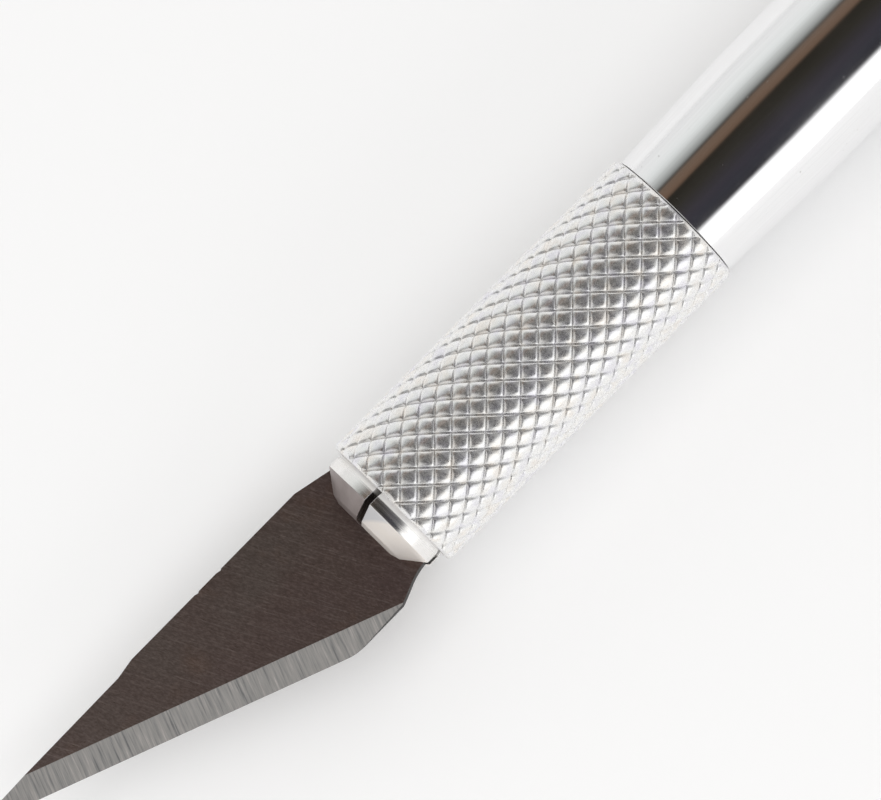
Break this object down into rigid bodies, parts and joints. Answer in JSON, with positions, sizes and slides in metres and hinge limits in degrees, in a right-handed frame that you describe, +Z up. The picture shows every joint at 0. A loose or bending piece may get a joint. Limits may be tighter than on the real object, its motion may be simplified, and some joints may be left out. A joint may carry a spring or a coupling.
{
  "type": "hobby craft knife",
  "caption": "Slim hobby craft knife: round metal handle, knurled collar that tightens a slotted collet, and a long fine-point blade.",
  "frame": {"origin": "centre of the handle's tail face", "axes": "+X along the handle towards the blade's tip, +Z up and square to the blade's flat, +Y towards the cutting edge"},
  "size_m": [0.151, 0.0096, 0.0094],
  "materials": {
    "handle_aluminium": "polished",
    "collar_aluminium": "knurled, bright",
    "collet_aluminium": "machined",
    "blade_steel": "hardened steel with a ground bevel"
  },
  "bodies": {
    "handle": {"barrel": "handle_aluminium"},
    "collar": {"collar": "collar_aluminium"},
    "collet": {"collet_shank": "collet_aluminium"},
    "blade": {"blade": "blade_steel"},
    "jaw_1": {"collet_jaw_1": "collet_aluminium"},
    "jaw_2": {"collet_jaw_2": "collet_aluminium"},
    "jaw_3": {"collet_jaw_3": "collet_aluminium"},
    "jaw_4": {"collet_jaw_4": "collet_aluminium"}
  },
  "joints": [
    {"name": "collar_turn", "type": "hinge", "parent": "handle", "child": "collar", "pos_m": [0.097, 0, 0], "axis": [1, 0, 0], "range_deg": [0, 540]},
    {"name": "collet_screw", "type": "slide", "parent": "collar", "child": "collet", "axis": [1, 0, 0], "range_m": [0, 0.0012]},
    {"name": "blade_slide", "type": "slide", "parent": "collet", "child": "blade", "axis": [1, 0, 0], "range_m": [0, 0.018]},
    {"name": "jaw_1_flex", "type": "hinge", "parent": "collet", "child": "jaw_1", "pos_m": [0.104, 0.00106, 0.00106], "axis": [0, -0.7071, 0.7071], "range_deg": [0, 1]},
    {"name": "jaw_2_flex", "type": "hinge", "parent": "collet", "child": "jaw_2", "pos_m": [0.104, -0.00106, 0.00106], "axis": [0, -0.7071, -0.7071], "range_deg": [0, 1]},
    {"name": "jaw_3_flex", "type": "hinge", "parent": "collet", "child": "jaw_3", "pos_m": [0.104, -0.00106, -0.00106], "axis": [0, 0.7071, -0.7071], "range_deg": [0, 1]},
    {"name": "jaw_4_flex", "type": "hinge", "parent": "collet", "child": "jaw_4", "pos_m": [0.104, 0.00106, -0.00106], "axis": [0, 0.7071, 0.7071], "range_deg": [0, 1]}
  ],
  "couplings": [
    {"joint": "collar_turn", "follows": "collet_screw", "rad_per_m": 7853.9},
    {"joint": "jaw_1_flex", "follows": "collet_screw", "rad_per_m": 14.54},
    {"joint": "jaw_2_flex", "follows": "collet_screw", "rad_per_m": 14.54},
    {"joint": "jaw_3_flex", "follows": "collet_screw", "rad_per_m": 14.54},
    {"joint": "jaw_4_flex", "follows": "collet_screw", "rad_per_m": 14.54}
  ]
}
